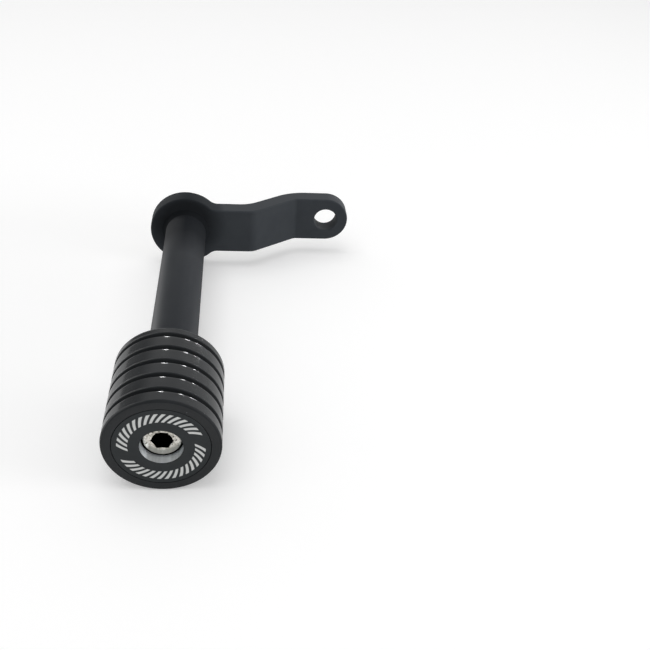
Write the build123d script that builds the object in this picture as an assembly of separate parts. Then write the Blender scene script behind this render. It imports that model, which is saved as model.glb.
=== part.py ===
from build123d import *
import os
from math import cos, radians, sqrt, tan

# Motorcycle frame slider: a grooved plastic puck on a steel standoff tube, which is welded
# to a cranked steel bracket. One long socket screw clamps all of it to the motorcycle.
#
# Millimetres. The screw lies on the Y axis and +Y points into the motorcycle. +X runs along
# the bracket's arm and +Z is up. The origin is the centre of the bracket's back face.

# Puck, turned from black acetal bar
puck_diameter = 50.0
puck_length = 50.5
puck_edge_radius = 1.2
web_thickness = 12.3
socket_lead_in = 0.5

# Grooves that leave six rings on the puck
groove_count = 5
groove_width = 2.4
groove_depth = 2.5
front_ring_width = 6.3
back_ring_width = 4.4
ring_edge_chamfer = 0.35

# End disc, aluminium, bored out after it was anodised black
disc_diameter = 41.0
disc_thickness = 4.8
disc_edge_chamfer = 0.25
disc_bore_chamfer = 0.2
disc_bore_length = 4.0

# Socket head screw, M10, with a rolled thread on its last part and a shank as thin as the blank
screw_diameter = 10.0
shank_diameter = 9.0
thread_length = 32.0
screw_engagement = 20.7
screw_point_chamfer = 1.2
underhead_radius = 0.3
head_diameter = 16.0
head_height = 10.0
head_edge_radius = 0.7
head_below_face = 4.2
socket_across_flats = 8.0
socket_depth = 5.5
socket_mouth_chamfer = 0.55
socket_drill_angle = 120.0

# Washers under the head: a split one that is clamped flat, then a plain narrow one
spring_washer_thickness = 2.4
spring_washer_cut = 0.8
spring_washer_cut_angle = 25.0
plain_washer_overhang = 0.7
plain_washer_thickness = 1.6
plain_washer_chamfer = 0.3

# Standoff tube
tube_diameter = 23.1
tube_end_chamfer = 0.5
standoff = 133.0

# Weld bead that joins the tube to the bracket
weld_leg = 2.2
weld_hollow = 0.25

# Bracket, cut from plate, then bent and drilled
plate_thickness = 10.0
screw_hole_diameter = 12.0
boss_diameter = 41.2
arm_width = 27.2
arm_offset = 17.6
bend_corner = 36.5
bend_angle = 34.5
first_bend_inside_radius = 18.0
first_bend_outside_radius = 9.0
second_bend_inside_radius = 4.0
second_bend_outside_radius = 30.0
pad_reach = 18.8
arm_hole_diameter = 14.0
arm_hole_chamfer = 0.4
shoulder_radius = 7.0
bracket_edge_radius = 0.9

# Clearances, all on the radius
disc_clearance = 0.1
disc_bore_clearance = 1.0
counterbore_clearance = 1.2
screw_clearance = 0.25
washer_clearance = 0.35
tube_bore_clearance = 1.0
tube_clearance = 0.1

# Places along the screw's axis
bracket_front = -plate_thickness
puck_back = bracket_front - standoff
puck_face = puck_back - puck_length
head_face = puck_face + head_below_face
head_seat = head_face + head_height
spring_washer_back = head_seat + spring_washer_thickness
screw_seat = spring_washer_back + plain_washer_thickness
tube_front = screw_seat + web_thickness

# Radii that several pieces share
screw_radius = screw_diameter / 2
head_radius = head_diameter / 2
tube_radius = tube_diameter / 2

# Places along the arm, seen from its edge
half_turn = tan(radians(bend_angle / 2))
outside_corner = bend_corner + plate_thickness * half_turn
bend_run = arm_offset / tan(radians(bend_angle))
arm_reach = outside_corner + bend_run + pad_reach


def along_y(solid):
    """Lay down a solid that was drawn upright on the Z axis, so that its top faces +Y."""
    return Rot(X=-90) * solid


def rod(radius, start, end):
    """Upright cylinder between two heights."""
    return Pos(0, 0, start) * Cylinder(radius, end - start, align=(Align.CENTER, Align.CENTER, Align.MIN))


def turned(outline):
    """Closed outline of (radius, height) points, revolved about the Z axis."""
    return revolve(Plane.XZ * make_face(Polyline(*outline, close=True).edges()), Axis.Z)


def ring(outline, start):
    """Turned piece laid on the screw's axis, with its height zero at start."""
    return along_y(Pos(0, 0, start) * turned(outline))


def round_edges(solid):
    """The solid's circular edges, lowest first."""
    return solid.edges().filter_by(GeomType.CIRCLE).sort_by(Axis.Z)


def puck():
    """Six rings outside. Inside, from the face: disc recess, counterbore, web, tube socket."""
    body = rod(puck_diameter / 2, puck_face, puck_back)
    body = fillet(body.edges().filter_by(GeomType.CIRCLE), puck_edge_radius)

    pitch = (puck_length - front_ring_width - back_ring_width - groove_width) / (groove_count - 1)
    cutter = groove_cutter()
    for number in range(groove_count):
        body -= Pos(0, 0, puck_face + front_ring_width + groove_width / 2 + number * pitch) * cutter

    socket_radius = tube_radius + tube_clearance
    body -= rod(disc_diameter / 2 + disc_clearance, puck_face, puck_face + disc_thickness)
    body -= rod(head_radius + counterbore_clearance, puck_face, screw_seat)
    body -= rod(screw_radius + screw_clearance, puck_face, puck_back)
    body -= rod(socket_radius, tube_front, puck_back)
    body -= Pos(0, 0, puck_back - socket_lead_in) * Cone(
        socket_radius, socket_radius + socket_lead_in, socket_lead_in,
        align=(Align.CENTER, Align.CENTER, Align.MIN),
    )
    return along_y(body)


def groove_cutter():
    """What one groove removes, centred on height zero: a square floor and chamfered lips."""
    surface = puck_diameter / 2
    floor = surface - groove_depth
    half = groove_width / 2
    lip = ring_edge_chamfer
    return turned([
        (floor, -half), (surface - lip, -half), (surface, -half - lip), (surface + lip, -half - lip),
        (surface + lip, half + lip), (surface, half + lip), (surface - lip, half), (floor, half),
    ])


def end_disc():
    """Flat disc, flush with the puck's face. Its bore widens a little round the screw's head."""
    rim = disc_diameter / 2
    bore = head_radius + disc_bore_clearance
    relief = head_radius + counterbore_clearance
    edge = disc_edge_chamfer
    mouth = disc_bore_chamfer
    outline = [
        (bore + mouth, 0), (rim - edge, 0), (rim, edge), (rim, disc_thickness - edge),
        (rim - edge, disc_thickness), (relief, disc_thickness), (relief, disc_bore_length),
        (bore, disc_bore_length), (bore, mouth),
    ]
    return ring(outline, puck_face)


def socket_screw():
    """Head with a hexagon socket, thin shank, and the thread as a rod of its outer diameter."""
    head = rod(head_radius, head_face, head_seat)
    head = fillet(round_edges(head)[0], head_edge_radius)
    thread_start = screw_engagement - thread_length
    shank = rod(shank_diameter / 2, head_seat, thread_start)
    thread = rod(screw_radius, thread_start, screw_engagement)
    thread = chamfer(round_edges(thread)[-1], screw_point_chamfer)
    thread = chamfer(round_edges(thread)[0], screw_radius - shank_diameter / 2)
    screw = head + shank + thread

    flat_radius = socket_across_flats / 2
    corner_radius = flat_radius / cos(radians(30))
    mouth_radius = corner_radius + socket_mouth_chamfer / 2
    upward = (Align.CENTER, Align.CENTER, Align.MIN)
    hexagon = extrude(RegularPolygon(corner_radius, 6), socket_depth)
    drill_depth = flat_radius / tan(radians(socket_drill_angle / 2))
    drill_point = Pos(0, 0, socket_depth) * Cone(flat_radius, 0, drill_depth, align=upward)
    mouth = Cone(
        mouth_radius, mouth_radius - 2 * socket_mouth_chamfer, socket_mouth_chamfer, align=upward
    )
    screw -= Pos(0, 0, head_face) * (hexagon + drill_point + mouth)

    neck = [
        edge for edge in round_edges(screw)
        if edge.radius < screw_radius and abs(edge.center().Z - head_seat) < 0.01
    ]
    return along_y(fillet(neck, underhead_radius))


def spring_washer():
    """Square-section ring under the head, as wide as the head, with one slanted cut."""
    bore = screw_radius + washer_clearance
    thickness = spring_washer_thickness
    band = ring([(bore, 0), (head_radius, 0), (head_radius, thickness), (bore, thickness)], head_seat)
    place = Pos(0, head_seat + thickness / 2, head_radius) * Rot(Z=spring_washer_cut_angle)
    return band - place * Box(spring_washer_cut, 3 * thickness, head_diameter)


def plain_washer():
    """Flat ring that spreads the load on the plastic web, chamfered on its outer edge."""
    bore = screw_radius + washer_clearance
    rim = head_radius + plain_washer_overhang
    edge = plain_washer_chamfer
    thickness = plain_washer_thickness
    outline = [(bore, 0), (rim - edge, 0), (rim, edge), (rim, thickness), (bore, thickness)]
    return ring(outline, spring_washer_back)


def standoff_tube():
    """Thick-walled tube from the floor of the puck's socket to the bracket's front face."""
    bore = screw_radius + tube_bore_clearance
    edge = tube_end_chamfer
    length = bracket_front - tube_front
    outline = [
        (bore + edge, 0), (tube_radius - edge, 0), (tube_radius, edge),
        (tube_radius, length), (bore, length), (bore, edge),
    ]
    return ring(outline, tube_front)


def tube_weld():
    """Bead all round the foot of the tube, with a slightly hollow face."""
    toe = tube_radius + weld_leg
    middle = weld_leg / 2 - weld_hollow * sqrt(0.5)
    with BuildSketch(Plane.XZ) as section:
        with BuildLine():
            Line((tube_radius, 0), (toe, 0))
            ThreePointArc((toe, 0), (tube_radius + middle, -middle), (tube_radius, -weld_leg))
            Line((tube_radius, -weld_leg), (tube_radius, 0))
        make_face()
    return along_y(Pos(0, 0, bracket_front) * revolve(section.sketch, Axis.Z))


def bent_strip():
    """The plate seen from its edge, with two opposite bends, as wide as the boss."""
    pad_front = arm_offset - plate_thickness
    tip = arm_reach + arm_width
    corners = [
        (-boss_diameter, -plate_thickness),
        (outside_corner, -plate_thickness),
        (outside_corner + bend_run, pad_front),
        (tip, pad_front),
        (tip, arm_offset),
        (bend_corner + bend_run, arm_offset),
        (bend_corner, 0),
        (-boss_diameter, 0),
    ]
    radii = [
        0, first_bend_outside_radius, second_bend_inside_radius, 0,
        0, second_bend_outside_radius, first_bend_inside_radius, 0,
    ]
    edge_view = FilletPolyline(*corners, radius=radii, close=True)
    return extrude(make_face(edge_view.edges()), boss_diameter, both=True)


def plan_outline():
    """The bracket seen along the screw: round boss, hollow shoulders, arm with a round end."""
    boss_radius = boss_diameter / 2
    half_width = arm_width / 2
    outline = Circle(boss_radius) + Pos(arm_reach / 2, 0) * Rectangle(arm_reach, arm_width)
    outline += Pos(arm_reach, 0) * Circle(half_width)
    meeting = sqrt(boss_radius**2 - half_width**2)
    shoulders = [
        corner for corner in outline.vertices()
        if abs(corner.X - meeting) < 0.01 and abs(abs(corner.Y) - half_width) < 0.01
    ]
    return fillet(shoulders, shoulder_radius)


def on_a_face(edge):
    """True for the plate's front and back edges, and false for the seams between its faces."""
    if edge.geom_type != GeomType.LINE:
        return True
    run = (edge @ 1) - (edge @ 0)
    across_plate = abs(run.Z) > abs(run.X) + abs(run.Y)
    through_plate = abs(run.X) < 0.01 and abs(run.Z) < 0.01
    return not across_plate and not through_plate


def mounting_bracket():
    """Boss for the tube, and an arm that is cranked inwards to meet a second fixing."""
    plate = bent_strip() & Rot(X=90) * extrude(plan_outline(), 2 * boss_diameter, both=True)
    plate = fillet([edge for edge in plate.edges() if on_a_face(edge)], bracket_edge_radius)

    depth = 2 * (arm_offset + plate_thickness)
    screw_hole = Rot(X=90) * Cylinder(screw_hole_diameter / 2, depth)
    arm_hole = Pos(arm_reach, 0, 0) * Rot(X=90) * Cylinder(arm_hole_diameter / 2, depth)
    plate -= screw_hole + arm_hole
    mouths = [
        edge for edge in plate.edges().filter_by(GeomType.CIRCLE)
        if abs(edge.radius - arm_hole_diameter / 2) < 0.01 and edge.center().X > arm_reach / 2
    ]
    return chamfer(mouths, arm_hole_chamfer)


os.makedirs("parts", exist_ok=True)
for make_piece in (
    puck, end_disc, socket_screw, spring_washer, plain_washer,
    standoff_tube, tube_weld, mounting_bracket,
):
    export_step(make_piece(), f"parts/{make_piece.__name__}.step")
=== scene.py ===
from math import atan2, cos, pi, radians, sin

import bpy
from mathutils import Matrix, Vector


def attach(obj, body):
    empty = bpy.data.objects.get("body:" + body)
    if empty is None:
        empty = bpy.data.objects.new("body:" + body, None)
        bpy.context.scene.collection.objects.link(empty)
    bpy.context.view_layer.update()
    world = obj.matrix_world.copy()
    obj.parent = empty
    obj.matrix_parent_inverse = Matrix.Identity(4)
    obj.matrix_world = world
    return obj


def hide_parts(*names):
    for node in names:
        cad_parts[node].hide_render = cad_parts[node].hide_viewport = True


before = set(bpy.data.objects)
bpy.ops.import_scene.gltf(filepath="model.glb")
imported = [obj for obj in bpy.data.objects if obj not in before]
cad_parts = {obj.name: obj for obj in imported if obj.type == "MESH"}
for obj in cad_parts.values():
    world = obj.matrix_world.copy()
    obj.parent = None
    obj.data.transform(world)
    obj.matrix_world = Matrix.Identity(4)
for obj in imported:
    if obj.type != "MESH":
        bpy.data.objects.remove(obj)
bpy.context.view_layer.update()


# Camera: a little above the slider and in front of its puck, looking along the screw.
# Its place, its turn and its focal length were fitted to the photo.
eye = Vector((0.03067, -0.448654, 0.243033))
view_right = Vector((0.9944148, -0.0796173, 0.0692839))
view_up = Vector((-0.0105012, 0.5785606, 0.8155718))
view_back = Vector((-0.1050185, -0.8117443, 0.5744931))
photo_pixels, focal_pixels, sensor_width = 650, 834.152, 36.0
bpy.ops.object.camera_add()
camera = bpy.context.object
camera.name = "camera"
turn_to_view = Matrix((view_right, view_up, view_back)).transposed().to_4x4()
camera.matrix_world = Matrix.Translation(eye) @ turn_to_view
camera.data.sensor_width = sensor_width
camera.data.lens = sensor_width * focal_pixels / photo_pixels
camera.data.shift_x, camera.data.shift_y = -0.5 / photo_pixels, 0.5 / photo_pixels
bpy.context.scene.camera = camera


# Grooved puck: turned from a bar of black acetal, with five grooves that leave six rings. Its face is
# recessed for the end disc, and its back is bored for the tube. The rings' edges are eased. Those that
# look away from the puck's face are polished and catch the light. The others are left dull.
mm = 0.001
puck_face, puck_back, puck_radius = -193.5, -143.0, 25.0
rim_rounding, past_rounding = 1.2, 0.05
groove_count, groove_width, groove_floor, groove_rounding = 5, 2.4, 22.5, 0.25
first_ring, groove_pitch = 6.3, 9.35
ease_radius, ease_tilt, ease_steps, lip_rounding = 4.0, 13.0, 5, 0.15
recess_radius, recess_floor, recess_rounding = 20.6, -188.7, 0.2
head_room, web_front, web_hole = 9.2, -175.3, 5.25
socket_radius, socket_floor, socket_lead = 11.65, -163.0, 0.5
same_place, broad_rounding = 0.001, 0.3


def edit_all():
    """Open the active piece for editing, with all of it selected."""
    bpy.ops.object.mode_set(mode="EDIT")
    bpy.ops.mesh.select_all(action="SELECT")


def select_corners(piece, corners):
    """Select the points of an outline at these corners, each (radius, place along the screw) in mm."""
    bpy.ops.mesh.select_mode(type="VERT")
    bpy.ops.mesh.select_all(action="DESELECT")
    bpy.ops.object.mode_set(mode="OBJECT")
    for point in piece.data.vertices:
        x, y, _ = point.co / mm
        point.select = any(abs(x - radius) + abs(y - place) < same_place for radius, place in corners)
    bpy.ops.object.mode_set(mode="EDIT")


def turned(name, outline, steps):
    """Draw a closed outline of (radius, place along the screw, rounding), and turn it round the screw."""
    bpy.ops.object.select_all(action="DESELECT")
    bpy.ops.mesh.primitive_plane_add(size=mm)
    piece = bpy.context.object
    piece.name = piece.data.name = name
    edit_all()
    bpy.ops.mesh.merge(type="CENTER")
    spots = [Vector((radius, place, 0.0)) * mm for radius, place, _ in outline]
    bpy.ops.transform.translate(value=spots[0])
    for here, there in zip(spots, spots[1:]):
        bpy.ops.mesh.extrude_region_move(TRANSFORM_OT_translate={"value": there - here})
    select_corners(piece, [outline[0][:2], outline[-1][:2]])
    bpy.ops.mesh.edge_face_add()
    for rounding in sorted({corner[2] for corner in outline if corner[2]}):
        select_corners(piece, [corner[:2] for corner in outline if corner[2] == rounding])
        segments = 5 if rounding > broad_rounding else 2
        bpy.ops.mesh.bevel(offset=rounding * mm, segments=segments, affect="VERTICES")
    bpy.ops.mesh.select_all(action="SELECT")
    bpy.ops.mesh.spin(steps=steps, angle=2 * pi, center=(0, 0, 0), axis=(0, 1, 0))
    bpy.ops.mesh.select_all(action="SELECT")
    bpy.ops.mesh.remove_doubles(threshold=same_place * mm)
    bpy.ops.mesh.normals_make_consistent(inside=False)
    bpy.ops.object.mode_set(mode="OBJECT")
    bpy.ops.object.shade_smooth_by_angle(angle=radians(35))
    return piece


def eased_edge(edge, away):
    """A ring's edge: its top curves down gently towards the groove. away is the side the groove is on."""
    run = ease_radius * sin(radians(ease_tilt))
    points = []
    for step in range(ease_steps + 1):
        tilt = radians(ease_tilt * step / ease_steps)
        radius = puck_radius - ease_radius * (1 - cos(tilt))
        place = edge - away * (run - ease_radius * sin(tilt))
        points.append((radius, place, lip_rounding if step == ease_steps else 0))
    return points[::away]


puck_outline = [
    (recess_radius, puck_face, recess_rounding), (puck_radius, puck_face, rim_rounding),
    (puck_radius, puck_face + rim_rounding + past_rounding, 0),
]
for number in range(groove_count):
    start = puck_face + first_ring + number * groove_pitch
    stop = start + groove_width
    puck_outline += eased_edge(start, 1)
    puck_outline += [(groove_floor, start, groove_rounding), (groove_floor, stop, groove_rounding)]
    puck_outline += eased_edge(stop, -1)
puck_outline += [
    (puck_radius, puck_back - rim_rounding - past_rounding, 0), (puck_radius, puck_back, rim_rounding),
    (socket_radius + socket_lead, puck_back, 0), (socket_radius, puck_back - socket_lead, 0),
    (socket_radius, socket_floor, 0), (web_hole, socket_floor, 0), (web_hole, web_front, 0),
    (head_room, web_front, 0), (head_room, recess_floor, 0), (recess_radius, recess_floor, 0),
]
puck = turned("grooved_puck", puck_outline, steps=240)


def link(tree, start, end):
    """Join an output socket to an input socket."""
    tree.links.new(start, end)


def add_node(tree, kind, **settings):
    """A node of that kind. Names that aren't the node's own settings are its inputs."""
    node = tree.nodes.new(kind)
    for name, value in settings.items():
        if hasattr(node, name):
            setattr(node, name, value)
        else:
            node.inputs[name.replace("_", " ")].default_value = value
    return node


def sockets(group, inputs, outputs):
    """Give a node group its named inputs, with their values at first, and its named outputs."""
    for name, value in inputs.items():
        socket = group.interface.new_socket(name, in_out="INPUT", socket_type="NodeSocketFloat")
        socket.default_value = value
    for name in outputs:
        group.interface.new_socket(name, in_out="OUTPUT", socket_type="NodeSocketFloat")
    return group.nodes.new("NodeGroupInput"), group.nodes.new("NodeGroupOutput")


def maths(tree, operation, first, second=None, third=None):
    """One sum on sockets or numbers. Returns its result's socket."""
    node = tree.nodes.new("ShaderNodeMath")
    node.operation = operation
    for place, value in enumerate((first, second, third)):
        if value is None:
            continue
        if isinstance(value, (int, float)):
            node.inputs[place].default_value = value
        else:
            link(tree, value, node.inputs[place])
    return node.outputs[0]


def place_on_piece(tree):
    """The place on the piece as one socket, and its x, y and z. All are in metres."""
    place = tree.nodes.new("ShaderNodeTexCoord").outputs["Object"]
    parts = tree.nodes.new("ShaderNodeSeparateXYZ")
    link(tree, place, parts.inputs[0])
    return place, *parts.outputs


def from_axis(tree, x, z):
    """The distance from the screw's axis."""
    squares = maths(tree, "ADD", maths(tree, "POWER", x, 2.0), maths(tree, "POWER", z, 2.0))
    return maths(tree, "SQRT", squares)


def turning_lines():
    """Fine rings left by the lathe, on faces and on rims alike, with slow changes along each ring."""
    group = bpy.data.node_groups.new("turning_lines", "ShaderNodeTree")
    start, end = sockets(group, {"Lines per mm": 3.0}, ["Lines", "Bands"])
    _, x, y, z = place_on_piece(group)
    per_metre = maths(group, "MULTIPLY", start.outputs["Lines per mm"], 1 / mm)
    changes_per_metre = 60.0
    spot = add_node(group, "ShaderNodeCombineXYZ")
    link(group, maths(group, "MULTIPLY", from_axis(group, x, z), per_metre), spot.inputs["X"])
    link(group, maths(group, "MULTIPLY", y, per_metre), spot.inputs["Y"])
    link(group, maths(group, "MULTIPLY", x, changes_per_metre), spot.inputs["Z"])
    lines = add_node(group, "ShaderNodeTexNoise", Scale=1.0, Detail=3.0, Roughness=0.6)
    bands = add_node(group, "ShaderNodeTexNoise", Scale=0.12, Detail=2.0, Roughness=0.5)
    for noise, name in ((lines, "Lines"), (bands, "Bands")):
        link(group, spot.outputs[0], noise.inputs["Vector"])
        link(group, noise.outputs["Fac"], end.inputs[name])
    return group


def fine_dust():
    """A few pale specks of dust and fluff, and a faint uneven film."""
    group = bpy.data.node_groups.new("fine_dust", "ShaderNodeTree")
    start, end = sockets(group, {"Specks per mm": 0.6, "Amount": 0.5}, ["Specks", "Film"])
    place = group.nodes.new("ShaderNodeTexCoord").outputs["Object"]
    share_without, speck_size = 0.985, 0.09
    cells = add_node(group, "ShaderNodeTexVoronoi", Randomness=1.0)
    link(group, place, cells.inputs["Vector"])
    link(group, maths(group, "MULTIPLY", start.outputs["Specks per mm"], 1 / mm), cells.inputs["Scale"])
    parts = add_node(group, "ShaderNodeSeparateColor")
    link(group, cells.outputs["Color"], parts.inputs[0])
    rare = maths(group, "GREATER_THAN", parts.outputs["Red"], share_without)
    near = maths(group, "LESS_THAN", cells.outputs["Distance"], speck_size)
    specks = maths(group, "MULTIPLY", maths(group, "MULTIPLY", rare, near), start.outputs["Amount"])
    film = add_node(group, "ShaderNodeTexNoise", Scale=70.0, Detail=4.0, Roughness=0.6)
    link(group, place, film.inputs["Vector"])
    link(group, specks, end.inputs["Specks"])
    link(group, film.outputs["Fac"], end.inputs["Film"])
    return group


turning_group, dust_group = turning_lines(), fine_dust()


def new_material(name, **values):
    """A material with one Principled shader, its sockets set to these values."""
    material = bpy.data.materials.new(name)
    material.use_nodes = True
    shader = material.node_tree.nodes["Principled BSDF"]
    for socket, value in values.items():
        shader.inputs[socket.replace("_", " ")].default_value = value
    return material, material.node_tree, shader


def use_group(tree, group, **values):
    """Place a shared effect in a material, with its own values."""
    node = tree.nodes.new("ShaderNodeGroup")
    node.node_tree = group
    for name, value in values.items():
        node.inputs[name.replace("_", " ")].default_value = value
    return node


def spread(tree, value, low, high, out_low, out_high):
    """Map a value's range onto another one."""
    node = tree.nodes.new("ShaderNodeMapRange")
    link(tree, value, node.inputs["Value"])
    for name, number in (("From Min", low), ("From Max", high), ("To Min", out_low), ("To Max", out_high)):
        node.inputs[name].default_value = number
    return node.outputs["Result"]


def blend(tree, share, first, second):
    """Mix two colours, each a socket or an RGB value."""
    node = tree.nodes.new("ShaderNodeMix")
    node.data_type = "RGBA"
    link(tree, share, node.inputs["Factor"])
    colour_inputs = [socket for socket in node.inputs if socket.type == "RGBA"]
    for socket, value in zip(colour_inputs, (first, second)):
        if isinstance(value, tuple):
            socket.default_value = (*value, 1.0)
        else:
            link(tree, value, socket)
    return next(socket for socket in node.outputs if socket.type == "RGBA")


def dusted(tree, dust, dark, light):
    """A piece's colour between two close shades, with a few pale specks of dust on it."""
    shade = spread(tree, dust.outputs["Film"], 0.3, 0.75, 0.0, 1.0)
    return blend(tree, dust.outputs["Specks"], blend(tree, shade, dark, light), (0.30, 0.31, 0.33))


def relief(tree, shader, height, depth_mm, strength):
    """Feed a height into the shader's normal."""
    bump = tree.nodes.new("ShaderNodeBump")
    bump.inputs["Distance"].default_value = depth_mm * mm
    bump.inputs["Strength"].default_value = strength
    link(tree, height, bump.inputs["Height"])
    link(tree, bump.outputs["Normal"], shader.inputs["Normal"])


def facing_along(tree):
    """How far the surface faces along the screw: -1 on the puck's face, 0 on a rim, 1 on its back."""
    surface = tree.nodes.new("ShaderNodeNewGeometry")
    facing = tree.nodes.new("ShaderNodeSeparateXYZ")
    link(tree, surface.outputs["Normal"], facing.inputs[0])
    return facing.outputs["Y"]


acetal, tree, shader = new_material("black_acetal", Specular_IOR_Level=0.38)
lines = use_group(tree, turning_group, Lines_per_mm=4.0)
dust = use_group(tree, dust_group, Specks_per_mm=0.55, Amount=0.6)
colour = dusted(tree, dust, (0.0090, 0.0108, 0.0124), (0.0145, 0.0165, 0.0184))
link(tree, colour, shader.inputs["Base Color"])

_, _, y, _ = place_on_piece(tree)
lean = facing_along(tree)
end_margin, polish, dullness = 3.0, 0.12, 0.42
leaning_back = spread(tree, lean, 0.02, 0.05, 0.0, 1.0)
not_a_wall = spread(tree, lean, 0.3, 0.6, 1.0, 0.0)
behind_face = maths(tree, "GREATER_THAN", y, (puck_face + end_margin) * mm)
before_back = maths(tree, "LESS_THAN", y, (puck_back - end_margin) * mm)
polished = maths(tree, "MULTIPLY", leaning_back, not_a_wall)
polished = maths(tree, "MULTIPLY", polished, maths(tree, "MULTIPLY", behind_face, before_back))
rough = spread(tree, lines.outputs["Bands"], 0.3, 0.7, 0.13, 0.18)
smoothed = maths(tree, "MULTIPLY", polished, maths(tree, "SUBTRACT", rough, polish))
rough = maths(tree, "SUBTRACT", rough, smoothed)

leaning_front = spread(tree, lean, -0.08, -0.03, 1.0, 0.0)
off_face = maths(tree, "GREATER_THAN", lean, -0.95)
front_edges = maths(tree, "MULTIPLY", leaning_front, maths(tree, "ADD", off_face, 1.0))
back_rim = maths(tree, "GREATER_THAN", y, (puck_back - rim_rounding - 0.2) * mm)
dull = maths(tree, "MAXIMUM", maths(tree, "MULTIPLY", back_rim, 1.5), front_edges)
link(tree, maths(tree, "MULTIPLY_ADD", dull, dullness, rough), shader.inputs["Roughness"])
relief(tree, shader, lines.outputs["Lines"], 0.002, 0.12)
puck.data.materials.append(acetal)
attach(puck, "root")
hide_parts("puck")


# End disc: a turned aluminium disc, anodised matt black and then bored out bright.
# It sits flush in the puck's face. A band of plain slanted dashes is etched round its face.
disc_radius, disc_edge, disc_back_edge = 20.35, 0.1, 0.25
bore_radius, bore_lead = 9.0, 0.2
disc = turned("end_disc_face", [
    (bore_radius + bore_lead, puck_face, 0), (disc_radius - disc_edge, puck_face, 0),
    (disc_radius, puck_face + disc_edge, 0), (disc_radius, recess_floor - disc_back_edge, 0),
    (disc_radius - disc_back_edge, recess_floor, 0), (bore_radius, recess_floor, 0),
    (bore_radius, puck_face + bore_lead, 0),
], steps=192)


def band(tree, value, low, high, soft):
    """One between low and high, nothing outside, with soft edges."""
    rise = spread(tree, value, low - soft, low + soft, 0.0, 1.0)
    fall = spread(tree, value, high - soft, high + soft, 1.0, 0.0)
    return maths(tree, "MULTIPLY", rise, fall)


anodised, tree, shader = new_material("matt_black_anodised", Specular_IOR_Level=0.35)
lines = use_group(tree, turning_group, Lines_per_mm=7.0)
dust = use_group(tree, dust_group, Specks_per_mm=0.5, Amount=0.5)
_, x, y, z = place_on_piece(tree)
radius = maths(tree, "DIVIDE", from_axis(tree, x, z), mm)
turn = maths(tree, "MULTIPLY", maths(tree, "ARCTAN2", z, x), 180 / pi)

dash_step, dash_count, first_gap, lean_per_mm = 10.0, 36, 15.0, 2.6
dash_inner, dash_outer, dash_from, dash_to = 13.8, 18.2, 0.24, 0.76
from_middle = maths(tree, "SUBTRACT", radius, (dash_inner + dash_outer) / 2)
leaning = maths(tree, "ADD", turn, maths(tree, "MULTIPLY", from_middle, lean_per_mm))
cells = maths(tree, "DIVIDE", maths(tree, "ADD", leaning, 2 * 360.0 - first_gap), dash_step)
dashes = band(tree, maths(tree, "FRACT", cells), dash_from, dash_to, 0.02)
in_arc = maths(tree, "MODULO", maths(tree, "FLOOR", cells), dash_count / 2)
arcs = band(tree, in_arc, 0.5, dash_count / 2 - 1.5, 0.1)
in_band = maths(tree, "MULTIPLY", arcs, band(tree, radius, dash_inner, dash_outer, 0.06))
on_face = maths(tree, "LESS_THAN", y, (puck_face + 0.05) * mm)
etched = maths(tree, "MULTIPLY", maths(tree, "MULTIPLY", dashes, in_band), on_face)
colour = dusted(tree, dust, (0.0105, 0.0140, 0.0158), (0.0170, 0.0210, 0.0230))
link(tree, blend(tree, etched, colour, (0.66, 0.67, 0.66)), shader.inputs["Base Color"])
link(tree, spread(tree, lines.outputs["Bands"], 0.3, 0.7, 0.42, 0.52), shader.inputs["Roughness"])
relief(tree, shader, lines.outputs["Lines"], 0.003, 0.5)

bright_bore, tree, shader = new_material(
    "bright_bored_aluminium", Metallic=1.0, Anisotropic=0.8, Anisotropic_Rotation=0.25)
lines = use_group(tree, turning_group, Lines_per_mm=6.0)
dust = use_group(tree, dust_group, Specks_per_mm=1.0, Amount=0.4)
round_axis = add_node(tree, "ShaderNodeTangent", direction_type="RADIAL", axis="Y")
link(tree, round_axis.outputs[0], shader.inputs["Tangent"])
_, x, _, z = place_on_piece(tree)
round_place = tree.nodes.new("ShaderNodeCombineXYZ")
link(tree, x, round_place.inputs["X"])
link(tree, z, round_place.inputs["Z"])
wipes = add_node(tree, "ShaderNodeTexNoise", Scale=330.0, Detail=3.0, Roughness=0.6)
link(tree, round_place.outputs[0], wipes.inputs["Vector"])
wiped = spread(tree, wipes.outputs["Fac"], 0.38, 0.62, 0.0, 0.6)
shade = maths(tree, "MULTIPLY_ADD", lines.outputs["Bands"], 0.4, wiped)
link(tree, blend(tree, shade, (0.50, 0.53, 0.56), (0.90, 0.94, 0.98)), shader.inputs["Base Color"])
link(tree, spread(tree, dust.outputs["Film"], 0.3, 0.7, 0.34, 0.46), shader.inputs["Roughness"])
relief(tree, shader, lines.outputs["Lines"], 0.012, 0.8)

disc.data.materials.append(anodised)
disc.data.materials.append(bright_bore)
for face in disc.data.polygons:
    if (face.center.x**2 + face.center.z**2) ** 0.5 < (bore_radius + 0.01) * mm:
        face.material_index = 1
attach(disc, "root")
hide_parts("end_disc")


# Socket screw: M10, cold forged and bright zinc plated, with a rolled thread at its far end.
# Its head lies below the disc's face and clamps puck, tube and bracket together.
head_face, head_seat, head_radius, head_rounding = -189.3, -179.3, 8.0, 0.5
shank_radius, thread_start, screw_end, overlap = 4.5, -11.3, 20.7, 1.0
screw = turned("socket_head_screw", [
    (0.0, head_face, 0), (head_radius, head_face, head_rounding), (head_radius, head_seat, 0.1),
    (shank_radius, head_seat, 0.2), (shank_radius, thread_start + overlap, 0),
    (0.0, thread_start + overlap, 0),
], steps=96)


def cut_or_join(piece, tool, operation):
    """Use up a tool shape on the piece."""
    change = piece.modifiers.new(operation.lower(), "BOOLEAN")
    change.operation, change.object, change.solver = operation, tool, "EXACT"
    bpy.ops.object.select_all(action="DESELECT")
    bpy.context.view_layer.objects.active = piece
    piece.select_set(True)
    bpy.ops.object.modifier_apply(modifier=change.name)
    bpy.data.objects.remove(tool)


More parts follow.
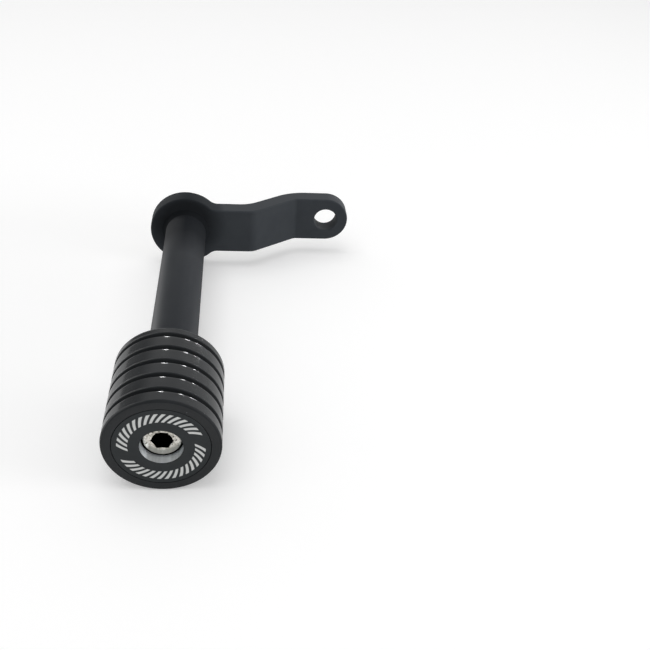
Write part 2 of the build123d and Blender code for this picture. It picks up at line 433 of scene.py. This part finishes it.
thread_pitch, crest, root, thread_turns, turn_steps = 1.5, 5.0, 4.08, 25, 48
root_flat, flank, crest_flat = 0.375, 0.469, 0.187
bpy.ops.object.select_all(action="DESELECT")
bpy.ops.mesh.primitive_plane_add(size=mm)
thread = bpy.context.object
thread.name = "rolled_thread"
edit_all()
bpy.ops.mesh.merge(type="CENTER")
bpy.ops.transform.translate(value=(root * mm, (thread_start - 2 * thread_pitch) * mm, 0))
for out, along in ((0, root_flat), (crest - root, flank), (0, crest_flat), (root - crest, flank)):
    bpy.ops.mesh.extrude_region_move(TRANSFORM_OT_translate={"value": (out * mm, along * mm, 0)})
bpy.ops.object.mode_set(mode="OBJECT")
helix = thread.modifiers.new("helix", "SCREW")
helix.axis, helix.screw_offset, helix.iterations = "Y", thread_pitch * mm, thread_turns
helix.steps = helix.render_steps = turn_steps
helix.use_merge_vertices, helix.merge_threshold = True, same_place * mm
bpy.ops.object.modifier_apply(modifier="helix")
edit_all()
bpy.ops.mesh.remove_doubles(threshold=same_place * mm)
for place, side in ((thread_start, -1), (screw_end + 0.4, 1)):
    bpy.ops.mesh.select_all(action="SELECT")
    bpy.ops.mesh.bisect(
        plane_co=(0, place * mm, 0), plane_no=(0, side, 0), use_fill=True, clear_outer=True,
        clear_inner=False,
    )
bpy.ops.mesh.select_all(action="SELECT")
bpy.ops.mesh.normals_make_consistent(inside=False)
bpy.ops.object.mode_set(mode="OBJECT")

blank_radius, end_radius, end_chamfer = 5.4, 3.8, 1.6
blank = turned("thread_blank", [
    (0.0, thread_start - overlap, 0), (blank_radius, thread_start - overlap, 0),
    (blank_radius, screw_end - end_chamfer, 0), (end_radius, screw_end, 0), (0.0, screw_end, 0),
], steps=64)
cut_or_join(thread, blank, "INTERSECT")
cut_or_join(screw, thread, "UNION")

hexagon_flats, hexagon_depth = 8.4, 5.5
drill_radius, drill_point, drill_lap = 4.0, 2.31, 0.01
mouth_wide, mouth_narrow, mouth_depth, mouth_middle = 4.75, 3.55, 1.2, 0.3
bpy.ops.mesh.primitive_cylinder_add(
    vertices=6, radius=hexagon_flats / 2 / cos(radians(30)) * mm, depth=2 * hexagon_depth * mm,
    location=(0, head_face * mm, 0), rotation=(pi / 2, pi / 6, 0),
)
cut_or_join(screw, bpy.context.object, "DIFFERENCE")
drill_middle = head_face + hexagon_depth + drill_point / 2 - drill_lap
bpy.ops.mesh.primitive_cone_add(
    vertices=48, radius1=drill_radius * mm, radius2=0, depth=drill_point * mm,
    location=(0, drill_middle * mm, 0), rotation=(-pi / 2, 0, 0),
)
cut_or_join(screw, bpy.context.object, "DIFFERENCE")
bpy.ops.mesh.primitive_cone_add(
    vertices=96, radius1=mouth_wide * mm, radius2=mouth_narrow * mm, depth=mouth_depth * mm,
    location=(0, (head_face + mouth_middle) * mm, 0), rotation=(-pi / 2, 0, 0),
)
cut_or_join(screw, bpy.context.object, "DIFFERENCE")
bpy.ops.object.shade_smooth_by_angle(angle=radians(30))

zinc, tree, shader = new_material("bright_zinc", Metallic=1.0)
mottle = add_node(tree, "ShaderNodeTexNoise", Scale=1150.0, Detail=4.0, Roughness=0.6)
pits = add_node(tree, "ShaderNodeTexNoise", Scale=800.0, Detail=2.0, Roughness=0.5)
place, x, y, z = place_on_piece(tree)
link(tree, place, mottle.inputs["Vector"])
link(tree, place, pits.inputs["Vector"])
radius = from_axis(tree, x, z)

outward = spread(tree, radius, 4.9 * mm, 5.6 * mm, 0.0, 1.0)
worn_rim = maths(tree, "MULTIPLY", outward, spread(tree, z, -4.0 * mm, -2.0 * mm, 1.0, 0.0))
on_head = spread(tree, y, (head_face + 0.6) * mm, (head_face + 1.2) * mm, 1.0, 0.0)
handled = maths(tree, "MULTIPLY", on_head, maths(tree, "SUBTRACT", 1.0, worn_rim))
pit = maths(tree, "MULTIPLY", spread(tree, pits.outputs["Fac"], 0.62, 0.67, 0.0, 1.0), handled)
patches = spread(tree, mottle.outputs["Fac"], 0.40, 0.62, 0.0, 1.0)
patches = maths(tree, "MULTIPLY", patches, spread(tree, handled, 0.0, 1.0, 0.15, 1.0))
colour = blend(tree, patches, (0.48, 0.46, 0.40), (0.94, 0.91, 0.85))
colour = blend(tree, pit, colour, (0.10, 0.09, 0.07))

# Painted shade: the hexagon socket's walls and floor are coloured near black.
upright = maths(tree, "LESS_THAN", maths(tree, "ABSOLUTE", facing_along(tree)), 0.3)
below_face = maths(tree, "GREATER_THAN", y, (head_face + 1.0) * mm)
inside = maths(tree, "LESS_THAN", radius, 4.95 * mm)
in_head = maths(tree, "LESS_THAN", y, (head_face + 9.0) * mm)
in_hexagon = maths(tree, "MULTIPLY", inside, in_head)
painted_socket_shade = maths(tree, "MULTIPLY", in_hexagon, maths(tree, "MAXIMUM", upright, below_face))
link(tree, blend(tree, painted_socket_shade, colour, (0.012, 0.012, 0.012)), shader.inputs["Base Color"])
link(tree, spread(tree, mottle.outputs["Fac"], 0.3, 0.7, 0.14, 0.26), shader.inputs["Roughness"])
dents = maths(tree, "MULTIPLY", mottle.outputs["Fac"], spread(tree, on_head, 0.0, 1.0, 0.25, 1.0))
relief(tree, shader, maths(tree, "SUBTRACT", dents, pit), 0.012, 0.4)
screw.data.materials.clear()
screw.data.materials.append(zinc)
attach(screw, "root")
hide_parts("socket_screw")


# Washers: a split spring washer and a plain one, plated like the screw, hidden under its head.
# Their solids are right as they are, and get the screw's plating.
for name in ("spring_washer", "plain_washer"):
    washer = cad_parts[name]
    for slot in washer.material_slots:
        slot.material = zinc


# Standoff tube: drawn steel tube, saw cut and chamfered, powder coated satin black with the bracket.
# Its front end stands in the puck, and its foot is welded to the bracket.
tube_radius, tube_bore, tube_foot = 11.55, 6.0, -10.0
tube_chamfer, chamfer_rounding = 0.5, 0.1
tube = turned("coated_tube", [
    (tube_bore + tube_chamfer, socket_floor, 0),
    (tube_radius - tube_chamfer, socket_floor, chamfer_rounding),
    (tube_radius, socket_floor + tube_chamfer, chamfer_rounding), (tube_radius, tube_foot, 0),
    (tube_bore, tube_foot, 0), (tube_bore, socket_floor + tube_chamfer, 0),
], steps=192)


def powder_skin():
    """The slightly lumpy skin of powder coat, and the finer grain on top of it."""
    group = bpy.data.node_groups.new("powder_skin", "ShaderNodeTree")
    start, end = sockets(group, {"Lumps per mm": 1.1, "Grain": 0.35}, ["Height", "Patches"])
    place = group.nodes.new("ShaderNodeTexCoord").outputs["Object"]
    grains_per_lump = 4.5
    size = maths(group, "MULTIPLY", start.outputs["Lumps per mm"], 1 / mm)
    lumps = add_node(group, "ShaderNodeTexNoise", Detail=1.0, Roughness=0.4)
    grain = add_node(group, "ShaderNodeTexNoise", Detail=2.0, Roughness=0.6)
    patches = add_node(group, "ShaderNodeTexNoise", Scale=45.0, Detail=4.0, Roughness=0.6)
    for noise in (lumps, grain, patches):
        link(group, place, noise.inputs["Vector"])
    link(group, size, lumps.inputs["Scale"])
    link(group, maths(group, "MULTIPLY", size, grains_per_lump), grain.inputs["Scale"])
    fine = maths(group, "MULTIPLY", grain.outputs["Fac"], start.outputs["Grain"])
    link(group, maths(group, "ADD", lumps.outputs["Fac"], fine), end.inputs["Height"])
    link(group, patches.outputs["Fac"], end.inputs["Patches"])
    return group


powder_group = powder_skin()


def powder_coat(name, dark, light, smooth, rough, shine, foot_shade, foot_from, foot_to):
    """Black powder coat between two shades and two roughnesses, with painted shade and more roughness in
    the foot's corner.
    """
    material, tree, shader = new_material(name, Specular_IOR_Level=shine)
    skin = use_group(tree, powder_group, Lumps_per_mm=1.2, Grain=0.4)
    dust = use_group(tree, dust_group, Specks_per_mm=0.4, Amount=0.5)
    colour = blend(tree, spread(tree, skin.outputs["Patches"], 0.35, 0.65, 0.0, 1.0), dark, light)
    place = tree.nodes.new("ShaderNodeTexCoord").outputs["Object"]
    from_foot = add_node(tree, "ShaderNodeVectorMath", operation="DISTANCE")
    from_foot.inputs[1].default_value = (0.0, tube_foot * mm, 6.0 * mm)
    link(tree, place, from_foot.inputs[0])
    reach = from_foot.outputs["Value"]
    # Painted shade: the coat's colour darkens towards the tube's foot, and its roughness rises there.
    left_after_painted_shade = spread(tree, reach, foot_from * mm, foot_to * mm, 1.0 - foot_shade, 1.0)
    shaded = add_node(tree, "ShaderNodeVectorMath", operation="SCALE")
    link(tree, colour, shaded.inputs[0])
    link(tree, left_after_painted_shade, shaded.inputs["Scale"])
    colour = blend(tree, dust.outputs["Specks"], shaded.outputs[0], (0.25, 0.26, 0.28))
    link(tree, colour, shader.inputs["Base Color"])
    skin_rough = spread(tree, skin.outputs["Patches"], 0.3, 0.7, smooth, rough)
    duller = maths(tree, "SUBTRACT", 1.0, left_after_painted_shade)
    link(tree, maths(tree, "ADD", skin_rough, duller), shader.inputs["Roughness"])
    relief(tree, shader, skin.outputs["Height"], 0.02, 0.35)
    return material


# The tube's coat has painted shade towards its foot.
tube_coat = powder_coat(
    "satin_tube_coat", (0.0150, 0.0172, 0.0210), (0.0195, 0.0222, 0.0265), smooth=0.55, rough=0.65,
    shine=0.1, foot_shade=0.38, foot_from=20, foot_to=45,
)
tube.data.materials.append(tube_coat)
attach(tube, "root")
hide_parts("standoff_tube")


# Weld: one small bead laid all round the foot of the tube, its ripples softened by the powder coat.
# Its coat is rougher in this corner and has painted shade there.
bead_height, bead_inside = 2.2, tube_radius - 0.05
bead_slope = [(13.75, 0.0), (13.3, 0.35), (12.75, 0.75), (12.3, 1.2), (11.9, 1.75)]
bead_slope += [(tube_radius, bead_height)]
bead_outline = [(bead_inside, tube_foot, 0)]
bead_outline += [(radius, tube_foot - height, 0) for radius, height in bead_slope]
bead_outline += [(bead_inside, tube_foot - bead_height, 0)]
bead = turned("weld_bead", bead_outline, steps=180)
ripple_count, ripple_depth, still_edge = 58, 0.06, 0.1
for point in bead.data.vertices:
    reach = (point.co.x**2 + point.co.z**2) ** 0.5
    if reach > (tube_radius + still_edge) * mm and point.co.y < (tube_foot - still_edge) * mm:
        wave = sin(atan2(point.co.z, point.co.x) * ripple_count) * ripple_depth * mm
        point.co.x *= 1 - (ripple_depth * mm - wave) / reach
        point.co.z *= 1 - (ripple_depth * mm - wave) / reach
bead_coat = powder_coat(
    "dull_bead_coat", (0.0200, 0.0230, 0.0265), (0.0260, 0.0295, 0.0335), smooth=0.62, rough=0.72,
    shine=0.05, foot_shade=0.6, foot_from=12, foot_to=24,
)
bead.data.materials.append(bead_coat)
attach(bead, "root")
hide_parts("tube_weld")


# Mounting bracket: cut from thick plate with a round boss and a narrower arm, bent twice, drilled,
# rounded over along its edges, then powder coated. It carries the tube's weld on its front.
bpy.ops.object.select_all(action="DESELECT")
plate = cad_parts["mounting_bracket"]
bracket = plate.copy()
bracket.data = plate.data.copy()
bracket.name = bracket.data.name = "cranked_bracket"
bracket.parent = None
for key in list(bracket.keys()):
    if key.startswith("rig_"):
        del bracket[key]
bpy.context.scene.collection.objects.link(bracket)
bpy.context.view_layer.objects.active = bracket
bracket.select_set(True)
edit_all()
bpy.ops.mesh.customdata_custom_splitnormals_clear()
bpy.ops.mesh.remove_doubles(threshold=2 * same_place * mm)
bpy.ops.mesh.dissolve_limited(angle_limit=radians(0.3))
bpy.ops.object.mode_set(mode="OBJECT")
bpy.ops.object.shade_smooth_by_angle(angle=radians(35))
level = bracket.modifiers.new("level", "WEIGHTED_NORMAL")
level.keep_sharp = True
bpy.ops.object.modifier_apply(modifier="level")
# The bracket's coat has painted shade round the tube's foot.
bracket_coat = powder_coat(
    "matt_bracket_coat", (0.0330, 0.0375, 0.0430), (0.0410, 0.0460, 0.0520), smooth=0.62, rough=0.72,
    shine=0.1, foot_shade=0.66, foot_from=12, foot_to=24,
)
bracket.data.materials.clear()
bracket.data.materials.append(bracket_coat)
for face in bracket.data.polygons:
    face.material_index = 0
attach(bracket, "root")
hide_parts("mounting_bracket")


# Table: a plain white sheet on which the puck lies. It looks bright to the camera, and it keeps the
# slider's soft shadow.
table_size = 2.6
bpy.ops.object.select_all(action="DESELECT")
bpy.ops.mesh.primitive_plane_add(size=table_size, location=(0, 0, -puck_radius * mm))
table = bpy.context.object
table.name = "white_table"
bpy.ops.object.transform_apply(location=True)
paper, tree, shader = new_material(
    "white_paper", Base_Color=(0.85, 0.85, 0.85, 1.0), Roughness=0.9, Specular_IOR_Level=0.1,
    Emission_Strength=0.25,
)
path = tree.nodes.new("ShaderNodeLightPath")
link(tree, path.outputs["Is Camera Ray"], shader.inputs["Emission Color"])
table.data.materials.append(paper)


# Studio light: an even pale room, white to the camera, with a darker patch at the left that the rings
# reflect. A softbox hangs overhead, and a soft lamp stands at the right. The other lamps show only in
# reflections: one for each edge of the tube, and four for the glints on the rings' polished edges.
room = bpy.data.worlds.new("pale_room")
bpy.context.scene.world = room
room.use_nodes = True
tree = room.node_tree
tree.nodes.clear()
path = tree.nodes.new("ShaderNodeLightPath")
soft = add_node(tree, "ShaderNodeBackground", Color=(0.8, 0.8, 0.8, 1.0), Strength=0.68)
seen = add_node(tree, "ShaderNodeBackground", Strength=1.0)
toward = tree.nodes.new("ShaderNodeTexCoord")
near_patch = add_node(tree, "ShaderNodeVectorMath", operation="DOT_PRODUCT")
near_patch.inputs[1].default_value = Vector((-0.62, 0.74, 0.17)).normalized()
link(tree, toward.outputs["Generated"], near_patch.inputs[0])
patch = spread(tree, near_patch.outputs["Value"], 0.86, 0.97, 0.0, 1.0)
backdrop = blend(tree, patch, (0.8, 0.8, 0.8), (0.32, 0.32, 0.32))
backdrop = blend(tree, path.outputs["Is Camera Ray"], backdrop, (1.0, 1.0, 1.0))
link(tree, backdrop, seen.inputs["Color"])
shiny = maths(tree, "MAXIMUM", path.outputs["Is Glossy Ray"], path.outputs["Is Transmission Ray"])
plain = maths(tree, "MAXIMUM", shiny, path.outputs["Is Camera Ray"])
pick = tree.nodes.new("ShaderNodeMixShader")
out = tree.nodes.new("ShaderNodeOutputWorld")
link(tree, plain, pick.inputs[0])
link(tree, soft.outputs[0], pick.inputs[1])
link(tree, seen.outputs[0], pick.inputs[2])
link(tree, pick.outputs[0], out.inputs["Surface"])


def lamp(name, place, aim, width, height, power, diffuse=True):
    """An area lamp at a place, turned to face a point. Without diffuse it shows in reflections alone."""
    bpy.ops.object.light_add(type="AREA", location=place)
    light = bpy.context.object
    light.name = name
    light.data.shape = "RECTANGLE"
    light.data.size, light.data.size_y, light.data.energy = width, height, power
    light.rotation_euler = (Vector(aim) - Vector(place)).to_track_quat("-Z", "Y").to_euler()
    light.visible_diffuse = diffuse


lamp("softbox_above", (-0.2, -0.1, 1.3), (0.0, -0.08, 0.0), 1.2, 1.0, 6.0)
lamp("soft_lamp_left", (-1.2, 0.3, 0.08), (0.0, -0.06, 0.0), 0.5, 0.14, 50.0, diffuse=False)
lamp("soft_lamp_right", (1.3, -0.4, 0.2), (0.0, -0.02, 0.0), 0.5, 0.3, 8.0)
lamp("edge_lamp_right", (1.2, 0.35, -0.02), (0.0, -0.08, 0.0), 0.5, 0.1, 25.0, diffuse=False)
puck_middle, lamp_reach = Vector((0.0, -0.168, 0.0)), 1.3
for number, (bearing, height, size, power) in enumerate((
    (-4.4, 23.5, 0.10, 1.7), (17.0, 17.5, 0.08, 1.3), (25.0, 9.5, 0.055, 0.8), (30.0, 9.0, 0.04, 0.25),
)):
    level_reach, rise = cos(radians(height)), sin(radians(height))
    toward_lamp = Vector((sin(radians(bearing)) * level_reach, cos(radians(bearing)) * level_reach, rise))
    place = puck_middle + lamp_reach * toward_lamp
    lamp(f"ring_lamp_{number + 1}", place, puck_middle, size, size, power, diffuse=False)


bpy.context.scene.view_settings.view_transform = "Standard"
